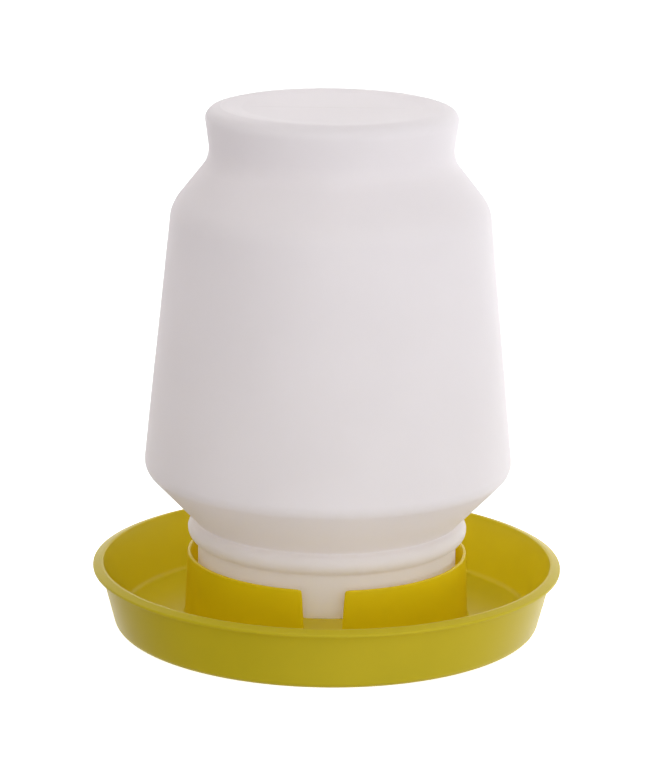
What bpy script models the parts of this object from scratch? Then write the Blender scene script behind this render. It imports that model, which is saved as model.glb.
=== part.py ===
"""Poultry waterer fount: an upside-down jar standing in the collar of a round drinking pan.

Frame: metres, +Z up, origin on the fount's axis at the plane that the pan stands on. The front is -Y.
Angles round the axis are counted from the front, -Y, towards +X.
"""
import math

import bmesh
import bpy

MM = 0.001
SEGMENTS = 56              # flats round every turned piece
RUNNING_GAP = 0.3 * MM     # between the jar's mouth and the ribs that carry it

# ---- drinking pan ----
RIM_RADIUS = 114.3 * MM    # a nine inch pan over its lip
RIM_HEIGHT = 31.6 * MM
PAN_WALL = 2.0 * MM
FLOOR_TOP = 2.8 * MM
UNDERSIDE_RECESS = 1.0 * MM
FOOT_INNER_RADIUS = 88.0 * MM
PAN_CORNER_RADIUS = 4.5 * MM
PAN_SIDE_FOOT_RADIUS = 103.2 * MM     # where the side's slope would meet the ground
PAN_SIDE_SLOPE = 0.2585               # outward per unit of height
PAN_FLOOR_FILLET = 3.0 * MM
LIP_CREST_RADIUS = 110.7 * MM         # outside here the lip slopes down to its edge
LIP_EDGE_HEIGHTS = (28.7 * MM, 30.3 * MM)
LIP_ROOT_FILLET = 0.8 * MM
LIP_EDGE_FILLET = 0.6 * MM
LIP_CREST_FILLET = 1.8 * MM
LIP_INNER_FILLET = 0.7 * MM

# ---- collar ----
COLLAR_TOP = 36.5 * MM
COLLAR_TOP_RADIUS = 68.05 * MM
COLLAR_FOOT_RADIUS = 69.4 * MM
COLLAR_INNER_RADIUS = 66.5 * MM
COLLAR_FOOT_FILLET = 1.5 * MM
COLLAR_EDGE_FILLET = 0.5 * MM
SLOT_ANGLE = -1.2                     # degrees; the second slot is opposite
SLOT_TOP_WIDTH = 20.2 * MM
SLOT_FLOOR_WIDTH = 16.4 * MM
CUT_OVERSHOOT = 4.0 * MM              # how far a cutter runs past the wall that it cuts

# ---- jar ----
JAR_TOP = 255.7 * MM
MOUTH_HEIGHT = 21.0 * MM              # sets the water level in the pan
JAR_WALL = 1.2 * MM
NECK_WALL = 1.6 * MM
NECK_RADIUS = 62.9 * MM
BEAD_CENTRE = (62.7 * MM, 48.3 * MM)  # radius and height of the bead's middle
BEAD_RADIUS = 5.2 * MM
BEAD_HOLLOW_START = 82.0              # degrees; where the bead's inside begins
NOTCH = (64.1 * MM, 53.35 * MM)       # the crease between the lower cone and the bead
TOP_PUSH_UP_RADIUS = 50.5 * MM
TOP_PUSH_UP_DEPTH = 0.6 * MM
TOP_PUSH_UP_STEP = 7.5 * MM           # width of the slope round the pushed-in disc
BODY_CORNERS = (                      # radius, height, fillet radius, steps
    (53.2 * MM, JAR_TOP, 2.0 * MM, 2),            # edge of the flat ring that stands when it is filled
    (60.9 * MM, 253.7 * MM, 5.3 * MM, 5),         # top corner
    (57.9 * MM, 231.2 * MM, 13.9 * MM, 4),        # waist
    (76.3 * MM, 207.8 * MM, 19.5 * MM, 3),        # shoulder
    (89.4 * MM, 79.7 * MM, 8.5 * MM, 4),          # belly, above the lower cone
)

# ---- bayonet and rest ribs ----
LUG_SWEEP = 24.0                      # degrees
COLLAR_LUG_ANGLES = (-60.0, 120.0)
NECK_LUG_ANGLES = (-30.0, 150.0)
COLLAR_LUG_HEIGHTS = (31.0 * MM, 34.0 * MM)
NECK_LUG_HEIGHTS = (26.4 * MM, 29.6 * MM)
LUG_REACH = 2.4 * MM
RIB_ANGLES = (43.0, 133.0, 223.0, 313.0)
RIB_INNER_RADIUS = 60.8 * MM
RIB_WIDTH = 2.4 * MM
SINK = 0.6 * MM                       # how far a lug or rib roots into the wall it grows from


def direction(degrees):
    """Unit vector at an angle from the front, towards +X."""
    angle = math.radians(degrees)
    return math.sin(angle), -math.cos(angle)


def arc(centre, radius, start, end, steps):
    """Points of an arc in the (radius, height) half plane; angles in degrees from +radius."""
    points = []
    for i in range(steps + 1):
        angle = math.radians(start + (end - start) * i / steps)
        points.append((centre[0] + radius * math.cos(angle), centre[1] + radius * math.sin(angle)))
    return points


def rounded(corners):
    """An outline through (radius, height, fillet radius, steps) corners, each fillet an arc."""
    outline = []
    for i, (x, y, fillet, steps) in enumerate(corners):
        if fillet == 0:
            outline.append((x, y))
            continue
        before = corners[i - 1]
        after = corners[(i + 1) % len(corners)]
        to_before = math.atan2(before[1] - y, before[0] - x)
        to_after = math.atan2(after[1] - y, after[0] - x)
        turn = (to_after - to_before + math.pi) % (2 * math.pi) - math.pi
        middle = to_before + turn / 2
        reach = fillet / abs(math.sin(turn / 2))
        centre = (x + reach * math.cos(middle), y + reach * math.sin(middle))
        sweep = math.copysign(math.pi - abs(turn), -turn)
        start = middle + math.pi - sweep / 2
        for k in range(steps + 1):
            angle = start + sweep * k / steps
            outline.append((centre[0] + fillet * math.cos(angle), centre[1] + fillet * math.sin(angle)))
    return outline


def turned(name, outline):
    """Turn an open outline of (radius, height) points about Z; an end on the axis becomes one point."""
    bm = bmesh.new()
    rings = []
    for radius, height in outline:
        if radius < 1e-6:
            rings.append([bm.verts.new((0.0, 0.0, height))])
            continue
        ring = []
        for k in range(SEGMENTS):
            x, y = direction(360.0 * k / SEGMENTS)
            ring.append(bm.verts.new((radius * x, radius * y, height)))
        rings.append(ring)
    for upper, lower in zip(rings, rings[1:]):
        for k in range(SEGMENTS):
            after = (k + 1) % SEGMENTS
            corners = [upper[k % len(upper)], lower[k % len(lower)]]
            if len(lower) > 1:
                corners.append(lower[after])
            if len(upper) > 1:
                corners.append(upper[after])
            bm.faces.new(corners)
    return mesh_object(name, bm)


def mesh_object(name, bm):
    bmesh.ops.recalc_face_normals(bm, faces=bm.faces)
    mesh = bpy.data.meshes.new(name)
    bm.to_mesh(mesh)
    bm.free()
    obj = bpy.data.objects.new(name, mesh)
    bpy.context.scene.collection.objects.link(obj)
    return obj


def ring_piece(name, inner, outer, heights, centre_angle, sweep, steps=6):
    """A curved block: part of a ring between two radii and two heights."""
    bm = bmesh.new()
    sections = []
    for k in range(steps + 1):
        x, y = direction(centre_angle + sweep * (k / steps - 0.5))
        section = []
        for radius, height in ((inner, heights[0]), (outer, heights[0]),
                               (outer, heights[1]), (inner, heights[1])):
            section.append(bm.verts.new((radius * x, radius * y, height)))
        sections.append(section)
    for here, there in zip(sections, sections[1:]):
        for k in range(4):
            after = (k + 1) % 4
            bm.faces.new((here[k], here[after], there[after], there[k]))
    bm.faces.new(sections[0])
    bm.faces.new(sections[-1])
    return mesh_object(name, bm)


def radial_prism(name, radii, floor_width, top_width, heights, angle):
    """A prism along a radius, its width going evenly from its floor to its top."""
    x, y = direction(angle)
    bm = bmesh.new()
    ends = []
    for radius in radii:
        end = []
        for side, height, width in ((-1, heights[0], floor_width), (1, heights[0], floor_width),
                                    (1, heights[1], top_width), (-1, heights[1], top_width)):
            across = side * width / 2
            end.append(bm.verts.new((radius * x - across * y, radius * y + across * x, height)))
        ends.append(end)
    for k in range(4):
        after = (k + 1) % 4
        bm.faces.new((ends[0][k], ends[0][after], ends[1][after], ends[1][k]))
    bm.faces.new(ends[0])
    bm.faces.new(ends[1])
    return mesh_object(name, bm)


def combine(target, tool, operation):
    """Add or cut one shape with a Boolean modifier, and hide the tool."""
    modifier = target.modifiers.new(tool.name, "BOOLEAN")
    modifier.operation = operation
    modifier.solver = "EXACT"
    modifier.object = tool
    tool.hide_render = True
    tool.display_type = "WIRE"


def shade(obj):
    obj.data.shade_smooth()
    obj.data.set_sharp_from_angle(angle=math.radians(35))


def material(name, colour, roughness):
    mat = bpy.data.materials.new(name)
    mat.use_nodes = True
    shader = mat.node_tree.nodes["Principled BSDF"]
    shader.inputs["Base Color"].default_value = (*colour, 1.0)
    shader.inputs["Roughness"].default_value = roughness
    shader.inputs["Metallic"].default_value = 0.0
    return mat


def inset(corners, wall):
    """The same corners moved inwards by a wall's thickness; the outline keeps its inside on the right."""
    moved = []
    for i, (x, y, fillet, steps) in enumerate(corners[1:-1], start=1):
        before = corners[i - 1]
        after = corners[i + 1]
        arriving = math.atan2(y - before[1], x - before[0])
        leaving = math.atan2(after[1] - y, after[0] - x)
        turn = (leaving - arriving + math.pi) % (2 * math.pi) - math.pi
        inward = arriving + turn / 2 - math.pi / 2
        reach = wall / math.cos(turn / 2)
        radius = fillet + math.copysign(wall, turn)
        moved.append((x + reach * math.cos(inward), y + reach * math.sin(inward), radius, steps))
    return moved


def bead_edge_angle(radius, wall_radius):
    """Degrees at which an arc of the bead comes down onto the neck's wall."""
    return -math.degrees(math.acos((wall_radius - BEAD_CENTRE[0]) / radius))


def jar_outline():
    """Outer skin from the top's centre down to the mouth, then the inner skin back up."""
    push_up = JAR_TOP - TOP_PUSH_UP_DEPTH
    slope_start = TOP_PUSH_UP_RADIUS - TOP_PUSH_UP_STEP
    crease = math.degrees(math.atan2(NOTCH[1] - BEAD_CENTRE[1], NOTCH[0] - BEAD_CENTRE[0]))
    outer = [(0.0, push_up), (slope_start, push_up)]
    outer += rounded([(TOP_PUSH_UP_RADIUS, JAR_TOP, 0, 0), *BODY_CORNERS, (*NOTCH, 0, 0)])
    outer += arc(BEAD_CENTRE, BEAD_RADIUS, crease, bead_edge_angle(BEAD_RADIUS, NECK_RADIUS), 5)[1:]
    outer += [(NECK_RADIUS, MOUTH_HEIGHT)]
    mouth_inner = NECK_RADIUS - NECK_WALL
    hollow = BEAD_RADIUS - NECK_WALL
    throat = (NOTCH[0] - JAR_WALL, NOTCH[1] + JAR_WALL / 4)
    inner = rounded([
        (0.0, push_up - JAR_WALL, 0, 0),
        (slope_start, push_up - JAR_WALL, 0, 0),
        *inset([(0.0, JAR_TOP, 0, 0), *BODY_CORNERS, (*NOTCH, 0, 0)], JAR_WALL),
        (*throat, 0, 0),
    ])
    inner += arc(BEAD_CENTRE, hollow, BEAD_HOLLOW_START, bead_edge_angle(hollow, mouth_inner), 5)
    inner += [(mouth_inner, MOUTH_HEIGHT)]
    return outer + inner[::-1]


def pan_side_radius(height):
    return PAN_SIDE_FOOT_RADIUS + PAN_SIDE_SLOPE * height


def base_outline():
    """Underside from the axis out, up the side and over the lip, then the inside back to the axis."""
    inward = PAN_WALL / math.cos(math.atan(PAN_SIDE_SLOPE))
    under_lip, edge_top = LIP_EDGE_HEIGHTS
    outline = [(0.0, UNDERSIDE_RECESS), (FOOT_INNER_RADIUS - UNDERSIDE_RECESS, UNDERSIDE_RECESS)]
    outline += rounded([
        (FOOT_INNER_RADIUS, 0.0, 0, 0),
        (PAN_SIDE_FOOT_RADIUS, 0.0, PAN_CORNER_RADIUS, 4),
        (pan_side_radius(under_lip), under_lip, LIP_ROOT_FILLET, 2),
        (RIM_RADIUS, under_lip, LIP_EDGE_FILLET, 2),
        (RIM_RADIUS, edge_top, LIP_EDGE_FILLET, 2),
        (LIP_CREST_RADIUS, RIM_HEIGHT, LIP_CREST_FILLET, 2),
        (pan_side_radius(RIM_HEIGHT) - inward, RIM_HEIGHT, LIP_INNER_FILLET, 2),
        (pan_side_radius(FLOOR_TOP) - inward, FLOOR_TOP, PAN_FLOOR_FILLET, 3),
        (COLLAR_FOOT_RADIUS, FLOOR_TOP, COLLAR_FOOT_FILLET, 2),
        (COLLAR_TOP_RADIUS, COLLAR_TOP, COLLAR_EDGE_FILLET, 1),
        (COLLAR_INNER_RADIUS, COLLAR_TOP, COLLAR_EDGE_FILLET, 1),
        (COLLAR_INNER_RADIUS, FLOOR_TOP, 0, 0),
        (0.0, FLOOR_TOP, 0, 0),
    ])
    return outline


def build_jar():
    jar = turned("jar", jar_outline())
    for i, angle in enumerate(NECK_LUG_ANGLES):
        lug = ring_piece(f"neck_lug_{i}", NECK_RADIUS - SINK, NECK_RADIUS + LUG_REACH,
                         NECK_LUG_HEIGHTS, angle, LUG_SWEEP)
        combine(jar, lug, "UNION")
    shade(jar)
    jar.data.materials.append(material("milky polyethylene", (0.80, 0.78, 0.76), 0.42))
    return jar


def build_base():
    base = turned("base", base_outline())
    over = COLLAR_TOP + CUT_OVERSHOOT
    growth = (SLOT_TOP_WIDTH - SLOT_FLOOR_WIDTH) / (COLLAR_TOP - FLOOR_TOP)
    slot_radii = (COLLAR_INNER_RADIUS - CUT_OVERSHOOT, COLLAR_FOOT_RADIUS + CUT_OVERSHOOT)
    for i, angle in enumerate((SLOT_ANGLE, SLOT_ANGLE + 180.0)):
        slot = radial_prism(f"slot_{i}", slot_radii, SLOT_FLOOR_WIDTH,
                            SLOT_FLOOR_WIDTH + growth * (over - FLOOR_TOP), (FLOOR_TOP, over), angle)
        combine(base, slot, "DIFFERENCE")
    for i, angle in enumerate(COLLAR_LUG_ANGLES):
        lug = ring_piece(f"collar_lug_{i}", COLLAR_INNER_RADIUS - LUG_REACH, COLLAR_INNER_RADIUS + SINK,
                         COLLAR_LUG_HEIGHTS, angle, LUG_SWEEP)
        combine(base, lug, "UNION")
    for i, angle in enumerate(RIB_ANGLES):
        rib = radial_prism(f"rest_rib_{i}", (RIB_INNER_RADIUS, COLLAR_INNER_RADIUS + SINK), RIB_WIDTH,
                           RIB_WIDTH, (FLOOR_TOP - SINK, MOUTH_HEIGHT - RUNNING_GAP), angle)
        combine(base, rib, "UNION")
    shade(base)
    base.data.materials.append(material("yellow polypropylene", (0.60, 0.48, 0.03), 0.35))
    return base


def main():
    for obj in list(bpy.data.objects):
        bpy.data.objects.remove(obj, do_unlink=True)
    build_base()
    build_jar()


main()
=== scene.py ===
"""Looks of the poultry waterer fount: a milky blow-moulded jar on a yellow injection-moulded pan.

Everything is in metres in the CAD frame: +Z up, the front at -Y, the origin on the axis where the pan
stands. Angles round the axis are in degrees from the front, -Y, towards +X.
"""
import math

import bmesh
import bpy
from mathutils import Euler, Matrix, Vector, noise


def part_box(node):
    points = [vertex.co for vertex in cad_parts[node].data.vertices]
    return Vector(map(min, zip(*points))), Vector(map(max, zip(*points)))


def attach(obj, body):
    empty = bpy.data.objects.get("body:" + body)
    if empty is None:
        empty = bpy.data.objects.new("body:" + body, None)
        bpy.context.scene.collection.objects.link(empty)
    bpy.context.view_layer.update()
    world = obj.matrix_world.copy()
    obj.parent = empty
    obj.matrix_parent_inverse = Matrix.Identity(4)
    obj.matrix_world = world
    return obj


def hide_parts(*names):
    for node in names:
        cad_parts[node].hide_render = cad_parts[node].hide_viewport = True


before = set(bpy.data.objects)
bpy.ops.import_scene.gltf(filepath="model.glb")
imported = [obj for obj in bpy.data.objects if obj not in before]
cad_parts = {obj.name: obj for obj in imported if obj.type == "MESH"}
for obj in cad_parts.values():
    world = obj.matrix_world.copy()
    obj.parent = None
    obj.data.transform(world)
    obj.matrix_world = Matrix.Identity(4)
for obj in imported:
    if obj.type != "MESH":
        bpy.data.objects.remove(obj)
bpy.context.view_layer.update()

base_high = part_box("base")[1]
jar_low, jar_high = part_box("jar")

MM = 0.001
COLUMNS = 240                          # even columns round a turned piece
COLUMN_GAP = 0.06                      # degrees; a column nearer to the last one is dropped
SHARP_ANGLE = 40.0                     # edges that turn more than this stay sharp

# ---- read from the frame ----
RIM_RADIUS = base_high.x
COLLAR_TOP = base_high.z
MOUTH_HEIGHT = jar_low.z
JAR_TOP = jar_high.z

# ---- jar, as the CAD has it ----
JAR_WALL = 1.2 * MM
NECK_WALL = 1.6 * MM
NECK_RADIUS = 62.9 * MM
BEAD_CENTRE = (62.7 * MM, 48.3 * MM)
BEAD_RADIUS = 5.2 * MM
BEAD_HOLLOW_START = 82.0               # degrees round the bead, where its hollow begins
NOTCH = (64.1 * MM, 53.35 * MM)        # the crease between the lower cone and the bead
PUSH_UP_RADIUS = 50.5 * MM
PUSH_UP_DEPTH = 0.6 * MM
PUSH_UP_STEP = 7.5 * MM
BODY_CORNERS = [                       # radius, height, fillet radius, steps
    (53.2 * MM, JAR_TOP, 2.0 * MM, 6),
    (60.9 * MM, 253.7 * MM, 5.3 * MM, 12),
    (57.9 * MM, 231.2 * MM, 13.9 * MM, 10),
    (76.3 * MM, 207.8 * MM, 19.5 * MM, 10),
    (89.4 * MM, 79.7 * MM, 8.5 * MM, 14),
]
NECK_LUG_ANGLES = (-30.0, 150.0)
NECK_LUG_HEIGHTS = (26.4 * MM, 29.6 * MM)
LUG_SWEEP = 24.0
LUG_REACH = 2.4 * MM

# ---- pan and collar, as the CAD has them ----
RIM_HEIGHT = 31.6 * MM
PAN_WALL = 2.0 * MM
FLOOR_TOP = 2.8 * MM
UNDERSIDE_RECESS = 1.0 * MM
FOOT_INNER_RADIUS = 88.0 * MM
PAN_CORNER_RADIUS = 4.5 * MM
PAN_FLOOR_FILLET = 3.0 * MM
PAN_SIDE_FOOT_RADIUS = 103.2 * MM
PAN_SIDE_SLOPE = 0.2585
LIP_CREST_RADIUS = 110.7 * MM
LIP_EDGE_HEIGHTS = (28.7 * MM, 30.3 * MM)
COLLAR_TOP_RADIUS = 68.05 * MM
COLLAR_FOOT_RADIUS = 69.4 * MM
COLLAR_INNER_RADIUS = 66.5 * MM
SLOT_ANGLES = (-1.2, 178.8)
SLOT_TOP_WIDTH = 20.2 * MM
SLOT_FLOOR_WIDTH = 16.4 * MM
COLLAR_LUG_ANGLES = (-60.0, 120.0)
COLLAR_LUG_HEIGHTS = (31.0 * MM, 34.0 * MM)
RIB_ANGLES = (43.0, 133.0, 223.0, 313.0)
RIB_INNER_RADIUS = 60.8 * MM
RIB_WIDTH = 2.4 * MM
RIB_TOP = MOUTH_HEIGHT - 0.3 * MM
SINK = 0.6 * MM                        # how far a lug, rib or collar roots into what it grows from


# ---------------------------------------------------------------- outlines

def direction(degrees):
    """A step of length 1 at an angle from the front."""
    angle = math.radians(degrees)
    return math.sin(angle), -math.cos(angle)


def smooth(t):
    """0 to 1 with level ends."""
    t = min(1.0, max(0.0, t))
    return t * t * (3.0 - 2.0 * t)


def arc(centre, radius, start, end, steps):
    """Points along an arc of an outline, between two angles in degrees."""
    points = []
    for i in range(steps + 1):
        angle = math.radians(start + (end - start) * i / steps)
        points.append((centre[0] + radius * math.cos(angle), centre[1] + radius * math.sin(angle)))
    return points


def rounded(corners):
    """An outline through (radius, height, fillet radius, steps) corners, each fillet an arc."""
    outline = []
    for i, (x, y, fillet, steps) in enumerate(corners):
        if fillet == 0:
            outline.append((x, y))
            continue
        before = corners[i - 1]
        after = corners[(i + 1) % len(corners)]
        to_before = math.atan2(before[1] - y, before[0] - x)
        to_after = math.atan2(after[1] - y, after[0] - x)
        turn = (to_after - to_before + math.pi) % (2 * math.pi) - math.pi
        middle = to_before + turn / 2
        reach = fillet / abs(math.sin(turn / 2))
        centre = (x + reach * math.cos(middle), y + reach * math.sin(middle))
        sweep = math.copysign(math.pi - abs(turn), -turn)
        start = middle + math.pi - sweep / 2
        for k in range(steps + 1):
            angle = start + sweep * k / steps
            outline.append((centre[0] + fillet * math.cos(angle), centre[1] + fillet * math.sin(angle)))
    return outline


def inset(corners, wall):
    """The corners moved inwards by a wall's thickness; the outline keeps its inside on the right."""
    moved = []
    for i, (x, y, fillet, steps) in enumerate(corners[1:-1], start=1):
        before = corners[i - 1]
        after = corners[i + 1]
        arriving = math.atan2(y - before[1], x - before[0])
        leaving = math.atan2(after[1] - y, after[0] - x)
        turn = (leaving - arriving + math.pi) % (2 * math.pi) - math.pi
        inward = arriving + turn / 2 - math.pi / 2
        reach = wall / math.cos(turn / 2)
        radius = fillet + math.copysign(wall, turn)
        moved.append((x + reach * math.cos(inward), y + reach * math.sin(inward), radius, steps))
    return moved


def split_long(outline, longest):
    """The outline with extra points, so that no step is longer than longest."""
    fine = [outline[0]]
    for (x0, y0), (x1, y1) in zip(outline, outline[1:]):
        steps = max(1, math.ceil(math.hypot(x1 - x0, y1 - y0) / longest))
        for k in range(1, steps + 1):
            fine.append((x0 + (x1 - x0) * k / steps, y0 + (y1 - y0) * k / steps))
    return fine


# ---------------------------------------------------------------- meshes

def shade(mesh):
    """Smooth shading, with the sharp edges kept."""
    mesh.shade_smooth()
    mesh.set_sharp_from_angle(angle=math.radians(SHARP_ANGLE))


def link(name, bm):
    """Turn a bmesh into a shaded object."""
    bmesh.ops.recalc_face_normals(bm, faces=bm.faces)
    mesh = bpy.data.meshes.new(name)
    bm.to_mesh(mesh)
    bm.free()
    obj = bpy.data.objects.new(name, mesh)
    bpy.context.scene.collection.objects.link(obj)
    shade(mesh)
    return obj


def turned(name, outline, angles, shift=None):
    """Turn an outline about Z. shift(radius, height, angle) moves a point to (radius, height)."""
    bm = bmesh.new()
    rings = []
    for radius, height in outline:
        ring = []
        if radius < 1e-6:
            ring.append(bm.verts.new((0.0, 0.0, height)))
        else:
            for angle in angles:
                x, y = direction(angle)
                r, z = shift(radius, height, angle) if shift else (radius, height)
                ring.append(bm.verts.new((r * x, r * y, z)))
        rings.append(ring)
    count = len(angles)
    for upper, lower in zip(rings, rings[1:]):
        for k in range(count):
            after = (k + 1) % count
            corners = [upper[k % len(upper)], lower[k % len(lower)]]
            if len(lower) > 1:
                corners.append(lower[after])
            if len(upper) > 1:
                corners.append(upper[after])
            bm.faces.new(corners)
    return link(name, bm)


def loft(name, loops):
    """A closed skin through stacked loops of equal length; a strip from tip to tip caps the end loops."""
    bm = bmesh.new()
    rows = [[bm.verts.new(point) for point in loop] for loop in loops]
    count = len(loops[0])
    for lower, upper in zip(rows, rows[1:]):
        for k in range(count):
            after = (k + 1) % count
            bm.faces.new((lower[k], lower[after], upper[after], upper[k]))
    for row in (rows[0], rows[-1]):
        for k in range(count // 2 - 1):
            bm.faces.new((row[k], row[k + 1], row[count - 2 - k], row[count - 1 - k]))
    return link(name, bm)


def soften(outline, centre, reach, rounds):
    """Round the outline off within reach of a point, by averaging neighbours."""
    points = list(outline)
    for _ in range(rounds):
        before = list(points)
        for i in range(1, len(points) - 1):
            x, y = before[i]
            away = math.hypot(x - centre[0], y - centre[1])
            if away < reach:
                pull = 0.5 * smooth(2.0 * (1.0 - away / reach))
                middle_x = (before[i - 1][0] + before[i + 1][0]) / 2
                middle_y = (before[i - 1][1] + before[i + 1][1]) / 2
                points[i] = (x + pull * (middle_x - x), y + pull * (middle_y - y))
    return points


def angles_with(extra):
    """Even columns and the extra ones, without near doubles."""
    found = sorted(a % 360.0 for a in [360.0 * k / COLUMNS for k in range(COLUMNS)] + list(extra))
    kept = []
    for angle in found:
        if not kept or angle - kept[-1] > COLUMN_GAP:
            kept.append(angle)
    return kept


def unite(obj, tools):
    """Weld closed shapes into one body, and drop the tools."""
    for tool in tools:
        modifier = obj.modifiers.new(tool.name, "BOOLEAN")
        modifier.operation = "UNION"
        modifier.solver = "EXACT"
        modifier.object = tool
    graph = bpy.context.evaluated_depsgraph_get()
    welded = bpy.data.meshes.new_from_object(obj.evaluated_get(graph))
    obj.modifiers.clear()
    obj.data = welded
    for tool in tools:
        bpy.data.objects.remove(tool)


# ---------------------------------------------------------------- the jar

SEAM_ANGLES = (90.0, 270.0)
SEAM_HALF_WIDTH = 0.35 * MM
SEAM_HEIGHT = 0.10 * MM
PINCH_HALF_LENGTH = 37.0 * MM
PINCH_HALF_WIDTH = 1.1 * MM
PINCH_HEIGHT = 0.16 * MM
SEAM_COLUMNS = (-0.7, -0.4, -0.24, -0.12, 0.12, 0.24, 0.4, 0.7)     # degrees to each side of a seam
PINCH_END = 3.0 * MM
MIDDLE_RADIUS = 4.0 * MM
MIDDLE_RINGS = (0.3, 0.7, 1.2, 2.0, 3.0)           # in mm, within that radius
PUSH_UP_MIDDLE_FILLET = 20.0 * MM      # where the pushed-up disc meets the slope round it
PUSH_UP_EDGE_FILLET = 12.0 * MM        # and where the slope meets the flat edge
WAVE_SIZE = 28.0 * MM
WAVE_HEIGHT = 0.10 * MM
WAVE_STRETCH = 0.6                     # below 1, the waves are longer up and down than round
WAVE_START = 30.0 * MM                 # the wall is even below here, and fully wavy 30 mm further up
WAVE_RISE = 30.0 * MM
WAVY_HEIGHTS = (MOUTH_HEIGHT + 2.0 * MM, JAR_TOP - 1.0 * MM)
WAVY_RADIUS = NECK_RADIUS - 6.0 * MM   # further in, there is only the closed end
LUG_ZONE_TOP = 35.0 * MM               # the neck's lugs are below this
LUG_EDGE = 0.45 * MM                   # how far a lug's soft edge reaches, up and down
LUG_RINGS = (0.5 * MM, 0.0, -0.4 * MM)             # rings above a lug's top, and as far below its foot
LUG_END = 0.5                          # degrees past a lug's end, where it starts to rise
LUG_END_SPREAD = 0.9                   # degrees that it takes to rise
LUG_COLUMNS = (-0.4, -0.1, 0.2, 0.5)   # degrees past a lug's end
HAIR = 0.01 * MM
NOTCH_APPROACH = 4.0 * MM              # the stretch of the cone above the notch that gets short steps
NOTCH_STEP = 0.3 * MM
NECK_STEP = 0.5 * MM
OUTER_STEP = 5.0 * MM
INNER_STEP = 8.0 * MM
BEAD_STEPS = 32
BEAD_HOLLOW_STEPS = 12
MOUTH_STEPS = 10
NOTCH_SOFTENING = (2.2 * MM, 12)       # reach and rounds, as for the next two
BEAD_SOFTENING = (1.6 * MM, 6)
HOLLOW_SOFTENING = (1.2 * MM, 3)


def bead_edge_angle(radius, wall_radius):
    """Degrees at which an arc of the bead comes down onto the neck's wall."""
    return -math.degrees(math.acos((wall_radius - BEAD_CENTRE[0]) / radius))


def outer_outline():
    """Outer skin from the centre of the closed end down to the mouth's edge."""
    push_up = JAR_TOP - PUSH_UP_DEPTH
    body = rounded([
        (MIDDLE_RADIUS, push_up, 0, 0),
        (PUSH_UP_RADIUS - PUSH_UP_STEP, push_up, PUSH_UP_MIDDLE_FILLET, 6),
        (PUSH_UP_RADIUS, JAR_TOP, PUSH_UP_EDGE_FILLET, 6),
        *BODY_CORNERS,
        (*NOTCH, 0, 0),
    ])
    crease = math.degrees(math.atan2(NOTCH[1] - BEAD_CENTRE[1], NOTCH[0] - BEAD_CENTRE[0]))
    bead = arc(BEAD_CENTRE, BEAD_RADIUS, crease, bead_edge_angle(BEAD_RADIUS, NECK_RADIUS),
               BEAD_STEPS)
    lug_low, lug_high = NECK_LUG_HEIGHTS
    neck = [(NECK_RADIUS, lug_high + up) for up in LUG_RINGS]
    neck += [(NECK_RADIUS, lug_low - down) for down in reversed(LUG_RINGS)]
    cone_end = body[-2]
    reach = NOTCH_APPROACH / math.dist(cone_end, NOTCH)
    near_notch = tuple(n + (c - n) * reach for n, c in zip(NOTCH, cone_end))
    outer = [(0.0, push_up)] + [(r * MM, push_up) for r in MIDDLE_RINGS]
    outer = split_long(outer + body[:-1] + [near_notch], OUTER_STEP)
    outer += split_long([near_notch, NOTCH], NOTCH_STEP)[1:] + bead[1:]
    outer += split_long([bead[-1], neck[0]], NECK_STEP)[1:]
    outer = soften(outer, NOTCH, *NOTCH_SOFTENING)
    outer = soften(outer, bead[-1], *BEAD_SOFTENING)
    return outer + neck[1:]


def inner_outline():
    """Inner skin from the centre of the closed end down to the mouth."""
    under = JAR_TOP - PUSH_UP_DEPTH - JAR_WALL
    hollow = BEAD_RADIUS - NECK_WALL
    throat = (NOTCH[0] - JAR_WALL, NOTCH[1] + JAR_WALL / 4)
    bead = arc(BEAD_CENTRE, hollow, BEAD_HOLLOW_START, bead_edge_angle(hollow, NECK_RADIUS - NECK_WALL),
               BEAD_HOLLOW_STEPS)
    inner = rounded([
        (0.0, under, 0, 0),
        (PUSH_UP_RADIUS - PUSH_UP_STEP, under, PUSH_UP_MIDDLE_FILLET, 3),
        *inset([(0.0, JAR_TOP, 0, 0), *BODY_CORNERS, (*NOTCH, 0, 0)], JAR_WALL),
        (*throat, 0, 0),
    ])
    return soften(split_long(inner + bead, INNER_STEP), bead[-1], *HOLLOW_SOFTENING)


def jar_outline():
    """The outer skin, the mouth's round edge, and the inner skin back up."""
    lip = NECK_WALL / 2
    mouth = arc((NECK_RADIUS - lip, MOUTH_HEIGHT + lip), lip, 0, -180, MOUTH_STEPS)
    return outer_outline() + mouth + inner_outline()[::-1]


def lug_at(angle, height):
    """0 to 1: how much of the neck lug stands at this place."""
    low, high = NECK_LUG_HEIGHTS
    up = smooth((height - low + LUG_EDGE) / LUG_EDGE) * smooth((high + LUG_EDGE - height) / LUG_EDGE)
    found = 0.0
    for centre in NECK_LUG_ANGLES:
        away = abs((angle - centre + 180.0) % 360.0 - 180.0)
        found = max(found, smooth((LUG_SWEEP / 2 + LUG_END - away) / LUG_END_SPREAD))
    return up * found


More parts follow.
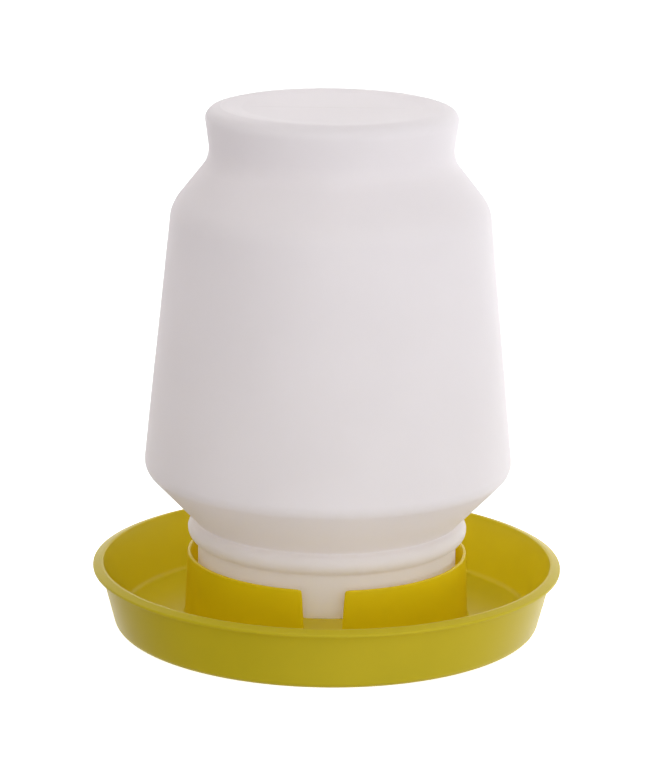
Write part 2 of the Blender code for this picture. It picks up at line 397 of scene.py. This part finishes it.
def shape_jar(radius, height, angle):
    """Mould parting line, pinch-off weld, neck lugs and the slight unevenness of a blown wall."""
    if height < LUG_ZONE_TOP and radius > NECK_RADIUS - HAIR:
        radius += LUG_REACH * lug_at(angle, height)
    x, y = direction(angle)
    if height > JAR_TOP - PUSH_UP_DEPTH - HAIR and radius < PUSH_UP_RADIUS:
        along, across = abs(radius * x), abs(radius * y)
        weld = smooth(1.0 - across / PINCH_HALF_WIDTH) * smooth((PINCH_HALF_LENGTH - along) / PINCH_END)
        height += PINCH_HEIGHT * weld
    elif WAVY_HEIGHTS[0] < height < WAVY_HEIGHTS[1] and radius > WAVY_RADIUS:
        wave = noise.noise(Vector((radius * x, radius * y, height * WAVE_STRETCH)) / WAVE_SIZE)
        radius += WAVE_HEIGHT * wave * smooth((height - WAVE_START) / WAVE_RISE)
        if outer_skin(radius, height):
            for seam in SEAM_ANGLES:
                away = abs((angle - seam + 180.0) % 360.0 - 180.0)
                ridge = smooth(1.0 - math.radians(away) * radius / SEAM_HALF_WIDTH)
                radius += SEAM_HEIGHT * ridge
    return radius, height


def outer_skin(radius, height):
    """True on the outside of the wall: the inner skin is at least a wall's thickness further in."""
    return radius > skin_radius(height) - JAR_WALL / 2


def skin_radius(height):
    """The outer skin's radius at a height, read from the jar's outline."""
    for (r0, z0), (r1, z1) in zip(OUTER_SKIN, OUTER_SKIN[1:]):
        if z1 <= height <= z0 and z0 > z1:
            return r0 + (r1 - r0) * (z0 - height) / (z0 - z1)
    return NECK_RADIUS


OUTER_SKIN = outer_outline()


def build_jar():
    """The jar: one turned skin, inside and outside, with the moulding's marks pushed into it."""
    seam = [angle + away for angle in SEAM_ANGLES for away in SEAM_COLUMNS]
    lugs = [centre + side * (LUG_SWEEP / 2 + away) for centre in NECK_LUG_ANGLES for side in (-1, 1)
            for away in LUG_COLUMNS]
    jar = turned("jar_moulding", jar_outline(), angles_with(seam + lugs), shape_jar)
    jar.data.materials.append(milky_polyethylene())
    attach(jar, "jar")
    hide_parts("jar")


# ---------------------------------------------------------------- the base

GATE_RADIUS = 1.6 * MM                 # the stub that moulding leaves under the pan's middle
GATE_FOOT_RADIUS = 2.2 * MM
GATE_HEIGHT = 0.35 * MM
GATE_SURROUND = (3.2 * MM, 6.0 * MM)   # rings on the flat round it
FLOOR_MIDDLE_RADIUS = 4.0 * MM
PAN_STEP = 6.0 * MM
LIP_ROOT_FILLET = 0.8 * MM
LIP_EDGE_FILLET = 0.6 * MM
LIP_CREST_FILLET = 1.8 * MM
LIP_INNER_FILLET = 0.7 * MM
FOOT_FILLETS = (0.5 * MM, 0.4 * MM)    # round the foot ring's inner step: at its top, at the ground


def pan_side_radius(height):
    """The pan wall's outer radius at a height."""
    return PAN_SIDE_FOOT_RADIUS + PAN_SIDE_SLOPE * height


def pan_outline():
    """Underside from the axis out, up the side and over the lip, then the inside back to the axis."""
    inward = PAN_WALL / math.cos(math.atan(PAN_SIDE_SLOPE))
    under_lip, edge_top = LIP_EDGE_HEIGHTS
    gate_end = UNDERSIDE_RECESS - GATE_HEIGHT
    gate = [(0.0, gate_end), (GATE_RADIUS, gate_end),
            (GATE_FOOT_RADIUS, UNDERSIDE_RECESS), (GATE_SURROUND[0], UNDERSIDE_RECESS)]
    outline = gate + rounded([
        (GATE_SURROUND[1], UNDERSIDE_RECESS, 0, 0),
        (FOOT_INNER_RADIUS - UNDERSIDE_RECESS, UNDERSIDE_RECESS, FOOT_FILLETS[0], 3),
        (FOOT_INNER_RADIUS, 0.0, FOOT_FILLETS[1], 3),
        (PAN_SIDE_FOOT_RADIUS, 0.0, PAN_CORNER_RADIUS, 12),
        (pan_side_radius(under_lip), under_lip, LIP_ROOT_FILLET, 6),
        (RIM_RADIUS, under_lip, LIP_EDGE_FILLET, 6),
        (RIM_RADIUS, edge_top, LIP_EDGE_FILLET, 6),
        (LIP_CREST_RADIUS, RIM_HEIGHT, LIP_CREST_FILLET, 8),
        (pan_side_radius(RIM_HEIGHT) - inward, RIM_HEIGHT, LIP_INNER_FILLET, 8),
        (pan_side_radius(FLOOR_TOP) - inward, FLOOR_TOP, PAN_FLOOR_FILLET, 10),
        (FLOOR_MIDDLE_RADIUS, FLOOR_TOP, 0, 0),
    ])
    return split_long(outline + [(0.0, FLOOR_TOP)], PAN_STEP)


COLLAR_FOOT_FILLET = 1.5 * MM
COLLAR_FOOT_START = 12.0               # degrees round the foot's fillet where the mesh starts
COLLAR_CROWN_END = 84.0                # and round the top edge, where the closing strip takes over
COLLAR_CORNER = 1.6 * MM
COLLAR_CORNER_ZONE = 8.0 * MM          # how far down the rounding of the corners reaches
COLLAR_ARC_STEPS = 110
COLLAR_CAP_STEPS = 13
FILLET_STEPS = 7
COLLAR_WALL_STEPS = 14
LUG_BLOCK_STEPS = 24
LUG_BLOCK_BEVEL = 0.4 * MM
RIB_BEVEL = 0.5 * MM


def collar_wall(height):
    """Outer and inner radius of the collar's plain wall at a height."""
    share = (height - FLOOR_TOP) / (COLLAR_TOP - FLOOR_TOP)
    outer = COLLAR_FOOT_RADIUS + (COLLAR_TOP_RADIUS - COLLAR_FOOT_RADIUS) * share
    return outer, COLLAR_INNER_RADIUS


def slot_width(height):
    """The slots are narrower at the floor than at the top."""
    share = (height - FLOOR_TOP) / (COLLAR_TOP - FLOOR_TOP)
    return SLOT_FLOOR_WIDTH + (SLOT_TOP_WIDTH - SLOT_FLOOR_WIDTH) * share


def collar_loop(height, grow, side):
    """One level of a collar segment: an arc-shaped band with round ends, grown or shrunk all round."""
    outer, inner = collar_wall(height)
    middle = (outer + inner) / 2
    half = (outer - inner) / 2
    end_offset = slot_width(height) / 2 + half
    swing = math.degrees(math.asin(end_offset / middle))
    first = SLOT_ANGLES[side] + swing
    last = SLOT_ANGLES[side] + 180.0 - swing
    thick = half + grow
    loop = level_arc(middle + thick, first, last)
    loop += collar_cap(middle, thick, last, 1)
    loop += level_arc(middle - thick, last, first)
    loop += collar_cap(middle, thick, first, -1)
    spare = (COLLAR_CAP_STEPS - 1) // 2
    loop = loop[-spare:] + loop[:-spare]           # start at a round end's tip, where the strips start
    return [(x, y, rounded_end_height(x, y, height)) for x, y in loop]


def level_arc(radius, start, end):
    """Points along an arc about the axis, between two angles from the front."""
    points = []
    for k in range(COLLAR_ARC_STEPS + 1):
        x, y = direction(start + (end - start) * k / COLLAR_ARC_STEPS)
        points.append((radius * x, radius * y))
    return points


def collar_cap(middle, thick, angle, way):
    """The round end of a segment, from its outer face to its inner one, or back where it starts."""
    x, y = direction(angle)
    ahead = (-y * way, x * way)
    cap = []
    for k in range(1, COLLAR_CAP_STEPS):
        turn = math.pi * k / COLLAR_CAP_STEPS
        out = math.cos(turn) * way
        along = math.sin(turn)
        cap.append((middle * x + thick * (out * x + along * ahead[0]),
                    middle * y + thick * (out * y + along * ahead[1])))
    return cap


def rounded_end_height(x, y, height):
    """Lower the top edge near a slot, so that the segment's upper corners are round."""
    slot_x, slot_y = direction(SLOT_ANGLES[0])
    across = abs(x * slot_y - y * slot_x)
    away = max(0.0, across - slot_width(height) / 2)
    if away >= COLLAR_CORNER:
        return height
    drop = COLLAR_CORNER - math.sqrt(COLLAR_CORNER ** 2 - (COLLAR_CORNER - away) ** 2)
    return height - drop * smooth((height - (COLLAR_TOP - COLLAR_CORNER_ZONE)) / COLLAR_CORNER_ZONE)


def collar_segment(name, side):
    """Half of the collar, between the slots: flared foot, plain wall and round top edge."""
    levels = []
    flare_end = FLOOR_TOP + COLLAR_FOOT_FILLET
    for k in range(FILLET_STEPS + 1):
        turn = math.radians(COLLAR_FOOT_START + (90.0 - COLLAR_FOOT_START) * k / FILLET_STEPS)
        levels.append((FLOOR_TOP + COLLAR_FOOT_FILLET * (1 - math.cos(turn)),
                       COLLAR_FOOT_FILLET * (1 - math.sin(turn))))
    bottom = (FLOOR_TOP - SINK, levels[0][1])
    top_half = (COLLAR_TOP_RADIUS - COLLAR_INNER_RADIUS) / 2
    body = [(flare_end + (COLLAR_TOP - top_half - flare_end) * k / COLLAR_WALL_STEPS, 0.0)
            for k in range(1, COLLAR_WALL_STEPS + 1)]
    crown = []
    for k in range(1, FILLET_STEPS + 1):
        turn = math.radians(COLLAR_CROWN_END * k / FILLET_STEPS)
        crown.append((COLLAR_TOP - top_half + top_half * math.sin(turn), -top_half * (1 - math.cos(turn))))
    loops = [collar_loop(z, grow, side) for z, grow in [bottom] + levels + body + crown]
    return loft(name, loops)


def ring_block(name, inner, outer, heights, centre_angle, sweep, edge):
    """A curved block with bevelled edges: part of a ring between two radii and two heights."""
    bm = bmesh.new()
    sections = []
    for k in range(LUG_BLOCK_STEPS + 1):
        x, y = direction(centre_angle + sweep * (k / LUG_BLOCK_STEPS - 0.5))
        corners = ((inner, heights[0]), (outer, heights[0]), (outer, heights[1]), (inner, heights[1]))
        sections.append([bm.verts.new((r * x, r * y, z)) for r, z in corners])
    for here, there in zip(sections, sections[1:]):
        for k in range(4):
            after = (k + 1) % 4
            bm.faces.new((here[k], here[after], there[after], there[k]))
    bm.faces.new(sections[0])
    bm.faces.new(sections[-1])
    return rounded_block(name, bm, edge)


def rest_rib(name, angle, edge):
    """A low radial wall under the jar's mouth."""
    x, y = direction(angle)
    bm = bmesh.new()
    ends = []
    for radius in (RIB_INNER_RADIUS, COLLAR_INNER_RADIUS + SINK):
        end = []
        for side, height in ((-1, FLOOR_TOP - SINK), (1, FLOOR_TOP - SINK),
                             (1, RIB_TOP), (-1, RIB_TOP)):
            across = side * RIB_WIDTH / 2
            end.append(bm.verts.new((radius * x - across * y, radius * y + across * x, height)))
        ends.append(end)
    for k in range(4):
        after = (k + 1) % 4
        bm.faces.new((ends[0][k], ends[0][after], ends[1][after], ends[1][k]))
    bm.faces.new(ends[0])
    bm.faces.new(ends[1])
    return rounded_block(name, bm, edge)


def rounded_block(name, bm, edge):
    """The block with its sharp edges rounded off."""
    bmesh.ops.recalc_face_normals(bm, faces=bm.faces)
    sharp = [e for e in bm.edges if e.calc_face_angle() > math.radians(SHARP_ANGLE)]
    bmesh.ops.bevel(bm, geom=sharp, offset=edge, segments=3, profile=0.5, affect="EDGES")
    return link(name, bm)


def build_base():
    """The base: the turned pan, with the collar, its lugs and the rest ribs welded on."""
    pan = turned("base_moulding", pan_outline(), angles_with([]))
    tools = [collar_segment(f"segment_{side}", side) for side in (0, 1)]
    for i, angle in enumerate(COLLAR_LUG_ANGLES):
        tools.append(ring_block(f"lug_{i}", COLLAR_INNER_RADIUS - LUG_REACH, COLLAR_INNER_RADIUS + SINK,
                                COLLAR_LUG_HEIGHTS, angle, LUG_SWEEP, LUG_BLOCK_BEVEL))
    for i, angle in enumerate(RIB_ANGLES):
        tools.append(rest_rib(f"rib_{i}", angle, RIB_BEVEL))
    unite(pan, tools)
    shade(pan.data)
    pan.data.materials.clear()
    pan.data.materials.append(yellow_polypropylene())
    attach(pan, "base")
    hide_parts("base")


# ---------------------------------------------------------------- materials

MILK_SHARE = 0.5                       # how much of the light that meets the jar goes through its wall
YELLOW_SHARE = 0.45                    # and the same for the base
COLLAR_LIGHT_RADII = (71.6 * MM, 70.2 * MM)  # the painted light on the collar fades in from the outside inwards
COLLAR_LIGHT_HEIGHTS = (3.0 * MM, 6.5 * MM)  # and from the floor up
PAPER_GLOW = 0.93


def node(tree, kind, **values):
    """A new node with its input values set."""
    made = tree.nodes.new(kind)
    for key, value in values.items():
        made.inputs[key].default_value = value
    return made


def new_material(name):
    """A material, its node tree and its main shader."""
    mat = bpy.data.materials.new(name)
    mat.use_nodes = True
    return mat, mat.node_tree, mat.node_tree.nodes["Principled BSDF"]


def mapped(tree, scale):
    """Object coordinates, stretched."""
    place = tree.nodes.new("ShaderNodeTexCoord")
    stretch = tree.nodes.new("ShaderNodeMapping")
    stretch.inputs["Scale"].default_value = scale
    tree.links.new(place.outputs["Object"], stretch.inputs["Vector"])
    return stretch.outputs["Vector"]


def noise_of(tree, vector, scale, detail=3.0, rough=0.5):
    """Noise of 0 to 1 at a scale per metre."""
    made = node(tree, "ShaderNodeTexNoise", Scale=scale, Detail=detail, Roughness=rough)
    tree.links.new(vector, made.inputs["Vector"])
    return made.outputs["Fac"]


def ramp(tree, fac, first, second):
    """A colour between two, by noise: all of the first up to 0.3, all of the second from 0.7."""
    made = tree.nodes.new("ShaderNodeValToRGB")
    for element, position, colour in zip(made.color_ramp.elements, (0.3, 0.7), (first, second)):
        element.position = position
        element.color = (*colour, 1.0)
    tree.links.new(fac, made.inputs["Fac"])
    return made.outputs["Color"]


def spread(tree, fac, low, high):
    """A factor of 0 to 1 spread between two values."""
    made = tree.nodes.new("ShaderNodeMapRange")
    made.inputs["To Min"].default_value = low
    made.inputs["To Max"].default_value = high
    tree.links.new(fac, made.inputs["Value"])
    return made.outputs["Result"]


def bump(tree, height, distance, strength, normal=None):
    """A surface normal roughened by a height, on top of one that is given."""
    made = node(tree, "ShaderNodeBump", Strength=strength, Distance=distance)
    tree.links.new(height, made.inputs["Height"])
    if normal is not None:
        tree.links.new(normal, made.inputs["Normal"])
    return made.outputs["Normal"]


def blend_shaders(tree, first, second):
    """The material shows a blend of two shaders. Returns the factor's socket."""
    blend = tree.nodes.new("ShaderNodeMixShader")
    tree.links.new(first.outputs["BSDF"], blend.inputs[1])
    tree.links.new(second.outputs["BSDF"], blend.inputs[2])
    tree.links.new(blend.outputs["Shader"], tree.nodes["Material Output"].inputs["Surface"])
    return blend.inputs["Fac"]


def let_through(tree, shader, colour, normal, share):
    """Blend a share of light that passes through the wall into a surface shader."""
    through = tree.nodes.new("ShaderNodeBsdfTranslucent")
    tree.links.new(colour, through.inputs["Color"])
    tree.links.new(normal, through.inputs["Normal"])
    blend_shaders(tree, shader, through).default_value = share


def blended(tree, fac, first, second):
    """Two colours, mixed by a factor."""
    mixed = tree.nodes.new("ShaderNodeMix")
    mixed.data_type = "RGBA"
    tree.links.new(fac, mixed.inputs["Factor"])
    colours = [socket for socket in mixed.inputs if socket.type == "RGBA"]
    tree.links.new(first, colours[0])
    tree.links.new(second, colours[1])
    return next(socket for socket in mixed.outputs if socket.type == "RGBA")


def maths(tree, operation, a, b):
    """A maths node on two inputs, each a socket or a number."""
    made = tree.nodes.new("ShaderNodeMath")
    made.operation = operation
    for socket, value in zip(made.inputs, (a, b)):
        if isinstance(value, (int, float)):
            socket.default_value = value
        else:
            tree.links.new(value, socket)
    return made.outputs["Value"]


def vector_maths(tree, operation, vector):
    """A vector maths node that works on a vector."""
    made = tree.nodes.new("ShaderNodeVectorMath")
    made.operation = operation
    tree.links.new(vector, made.inputs[0])
    return made


def painted_collar_light(tree):
    """1 on the collar, where lighter, warmer colours are painted on as light falling on it, and 0 on the
    rest of the base.
    """
    place = tree.nodes.new("ShaderNodeTexCoord")
    flat = vector_maths(tree, "MULTIPLY", place.outputs["Object"])
    flat.inputs[1].default_value = (1.0, 1.0, 0.0)
    radius = vector_maths(tree, "LENGTH", flat.outputs["Vector"])
    height = tree.nodes.new("ShaderNodeSeparateXYZ")
    tree.links.new(place.outputs["Object"], height.inputs["Vector"])
    near = fade(tree, radius.outputs["Value"], COLLAR_LIGHT_RADII)
    up = fade(tree, height.outputs["Z"], COLLAR_LIGHT_HEIGHTS)
    return maths(tree, "MULTIPLY", near, up)


def fade(tree, value, span):
    """0 at the start of a span of values, 1 at its end."""
    made = tree.nodes.new("ShaderNodeMapRange")
    made.inputs["From Min"].default_value = span[0]
    made.inputs["From Max"].default_value = span[1]
    tree.links.new(value, made.inputs["Value"])
    return made.outputs["Result"]


def milky_polyethylene():
    """Natural polyethylene, blow moulded: milky, lets light through, satin, with faint die lines."""
    mat, tree, shader = new_material("milky_polyethylene")
    even = mapped(tree, (1.0, 1.0, 1.0))
    drawn = mapped(tree, (1.0, 1.0, 0.04))
    cloud = noise_of(tree, even, 22.0, 3.0)
    lines = noise_of(tree, drawn, 260.0, 2.0)
    grain = noise_of(tree, even, 1500.0, 2.0)
    surface = ramp(tree, cloud, (0.943, 0.921, 0.935), (0.973, 0.951, 0.966))
    tree.links.new(surface, shader.inputs["Base Color"])
    tree.links.new(spread(tree, noise_of(tree, even, 60.0), 0.40, 0.50), shader.inputs["Roughness"])
    normal = bump(tree, lines, 0.00008, 0.35)
    normal = bump(tree, grain, 0.00003, 0.25, normal)
    tree.links.new(normal, shader.inputs["Normal"])
    depth = ramp(tree, cloud, (0.980, 0.959, 0.968), (0.993, 0.974, 0.983))
    let_through(tree, shader, depth, normal, MILK_SHARE)
    return mat


def yellow_polypropylene():
    """Pigmented polypropylene, injection moulded: satin gloss, with faint flow marks and fine scuffs, and
    painted light on the collar.
    """
    mat, tree, shader = new_material("yellow_polypropylene")
    even = mapped(tree, (1.0, 1.0, 1.0))
    cloud = noise_of(tree, even, 18.0, 3.0)
    grain = noise_of(tree, even, 1200.0, 2.0)
    scuffs = noise_of(tree, mapped(tree, (1.0, 1.0, 6.0)), 240.0, 5.0, 0.7)
    collar_light_mask = painted_collar_light(tree)
    pan = ramp(tree, cloud, (0.70, 0.602, 0.022), (0.735, 0.632, 0.026))
    # painted light: the collar's colour is lighter and warmer than the pan's, for light falling on the
    # collar
    collar = ramp(tree, cloud, (0.84, 0.69, 0.006), (0.87, 0.72, 0.007))
    tree.links.new(blended(tree, collar_light_mask, pan, collar), shader.inputs["Base Color"])
    tree.links.new(spread(tree, scuffs, 0.29, 0.37), shader.inputs["Roughness"])
    shader.inputs["Specular IOR Level"].default_value = 0.32
    normal = bump(tree, grain, 0.00003, 0.08)
    tree.links.new(normal, shader.inputs["Normal"])
    deep = ramp(tree, cloud, (0.80, 0.675, 0.002), (0.83, 0.70, 0.002))
    # painted light: a lighter through colour on the collar, for light passing through it
    lit_collar_through = ramp(tree, cloud, (0.97, 0.83, 0.003), (0.98, 0.84, 0.003))
    let_through(tree, shader, blended(tree, collar_light_mask, deep, lit_collar_through), normal, YELLOW_SHARE)
    return mat


def studio_white():
    """Paper white that lights itself, so that it stays white; from behind it isn't there."""
    mat, tree, shader = new_material("studio_white")
    soft = noise_of(tree, mapped(tree, (1.0, 1.0, 1.0)), 3.0)
    paper = ramp(tree, soft, (0.92, 0.92, 0.92), (0.93, 0.93, 0.93))
    tree.links.new(paper, shader.inputs["Base Color"])
    tree.links.new(paper, shader.inputs["Emission Color"])
    shader.inputs["Emission Strength"].default_value = PAPER_GLOW
    shader.inputs["Roughness"].default_value = 0.9
    side = tree.nodes.new("ShaderNodeNewGeometry")
    clear = tree.nodes.new("ShaderNodeBsdfTransparent")
    tree.links.new(side.outputs["Backfacing"], blend_shaders(tree, shader, clear))
    return mat


# ---------------------------------------------------------------- stage, light and camera

FLOOR_REACH = 6.0
FLOOR_FLAT = 0.5
FLOOR_SWEEP_RADIUS = 1.5
FLOOR_COLUMNS = 72
FLOOR_DROP = 0.0002                    # the object stands just above it
BACKDROP_HEIGHT = 5.0
WALL_CROSSINGS = 12                    # light that goes through several walls still counts
SKY_POWER = 4.0                        # how narrow a patch of light is
BOUNCE_POWER = 3.0                     # the same for one from below
SIDE_TINT = 0.02                       # the right side's light is cooler, the left side's warmer
TENT_LIGHTS = [                        # angle from the front, elevation, strength
    (0.0, 0.0, 0.8),
    (45.0, 0.0, 0.85),
    (90.0, 0.0, 0.3),
    (135.0, 0.0, 1.25),
    (180.0, 0.0, 1.6),
    (225.0, 0.0, 0.35),
    (270.0, 0.0, 0.25),
    (0.0, 45.0, 0.8),
    (90.0, 45.0, 0.3),
    (180.0, 45.0, 0.45),
    (270.0, 45.0, 0.5),
    (0.0, -35.0, 0.25),
    (90.0, -35.0, 0.3),
    (180.0, -35.0, 1.1),
]


def build_floor():
    """A white table that curves up into a backdrop far away; only the camera sees it."""
    outline = [(0.0, 0.0)] + rounded([
        (FLOOR_FLAT, 0.0, 0, 0),
        (FLOOR_REACH, 0.0, FLOOR_SWEEP_RADIUS, 10),
        (FLOOR_REACH, BACKDROP_HEIGHT, 0, 0),
    ])
    floor = turned("studio_floor", outline, [360.0 * k / FLOOR_COLUMNS for k in range(FLOOR_COLUMNS)])
    floor.data.flip_normals()
    floor.location.z = -FLOOR_DROP
    floor.data.materials.append(studio_white())
    floor.visible_diffuse = False
    floor.visible_glossy = False
    floor.visible_transmission = False
    floor.visible_shadow = False


def sky_lobe(tree, way, azimuth, elevation, power):
    """A soft round patch of light in the sky, 1 at its middle."""
    x, y = direction(azimuth)
    level = math.cos(math.radians(elevation))
    facing = vector_maths(tree, "DOT_PRODUCT", way)
    facing.inputs[1].default_value = (level * x, level * y, math.sin(math.radians(elevation)))
    return maths(tree, "POWER", maths(tree, "MAXIMUM", facing.outputs["Value"], 0.0), power)


def build_light():
    """Large soft lights all round, as a light tent, with bounce from below the horizon."""
    world = bpy.data.worlds.new("light_tent")
    world.use_nodes = True
    tree = world.node_tree
    way = tree.nodes.new("ShaderNodeTexCoord").outputs["Generated"]
    height = tree.nodes.new("ShaderNodeSeparateXYZ")
    tree.links.new(way, height.inputs["Vector"])
    above = maths(tree, "GREATER_THAN", height.outputs["Z"], 0.0)
    below = maths(tree, "SUBTRACT", 1.0, above)
    total = None
    for azimuth, elevation, strength in TENT_LIGHTS:
        patch = sky_lobe(tree, way, azimuth, elevation, BOUNCE_POWER if elevation < 0 else SKY_POWER)
        if elevation != 0:
            patch = maths(tree, "MULTIPLY", patch, above if elevation > 0 else below)
        tinted = tree.nodes.new("ShaderNodeVectorMath")
        tinted.operation = "SCALE"
        cool = SIDE_TINT * math.sin(math.radians(azimuth))
        tinted.inputs[0].default_value = (strength * (1.0 - cool), strength, strength * (1.0 + cool))
        tree.links.new(patch, tinted.inputs["Scale"])
        light = tinted.outputs["Vector"]
        if total is not None:
            both = vector_maths(tree, "ADD", total)
            tree.links.new(light, both.inputs[1])
            light = both.outputs["Vector"]
        total = light
    tree.links.new(total, tree.nodes["Background"].inputs["Color"])
    bpy.context.scene.world = world


CAMERA_DISTANCE = 1.6
CAMERA_HEIGHT = 0.5267
CAMERA_LENS = 158.75
CAMERA_DOWN = 14.32                    # degrees, as are the next two
CAMERA_ASIDE = 0.11
CAMERA_ROLL = 0.70


def build_camera():
    """The camera stands in front of the axis and looks down at the object."""
    data = bpy.data.cameras.new("camera")
    data.sensor_width = 36.0
    data.lens = CAMERA_LENS
    data.clip_start = 0.05
    data.clip_end = 50.0
    camera = bpy.data.objects.new("camera", data)
    camera.location = (0.0, -CAMERA_DISTANCE, CAMERA_HEIGHT)
    look = Euler((math.radians(90.0 - CAMERA_DOWN), 0.0, math.radians(CAMERA_ASIDE)), "XYZ").to_matrix()
    roll = Euler((0.0, 0.0, math.radians(CAMERA_ROLL)), "XYZ").to_matrix()
    camera.rotation_euler = (look @ roll).to_euler()
    bpy.context.scene.collection.objects.link(camera)
    bpy.context.scene.camera = camera


bpy.context.scene.view_settings.view_transform = "Standard"
bpy.context.scene.cycles.diffuse_bounces = WALL_CROSSINGS
build_camera()
build_base()
build_jar()
build_floor()
build_light()
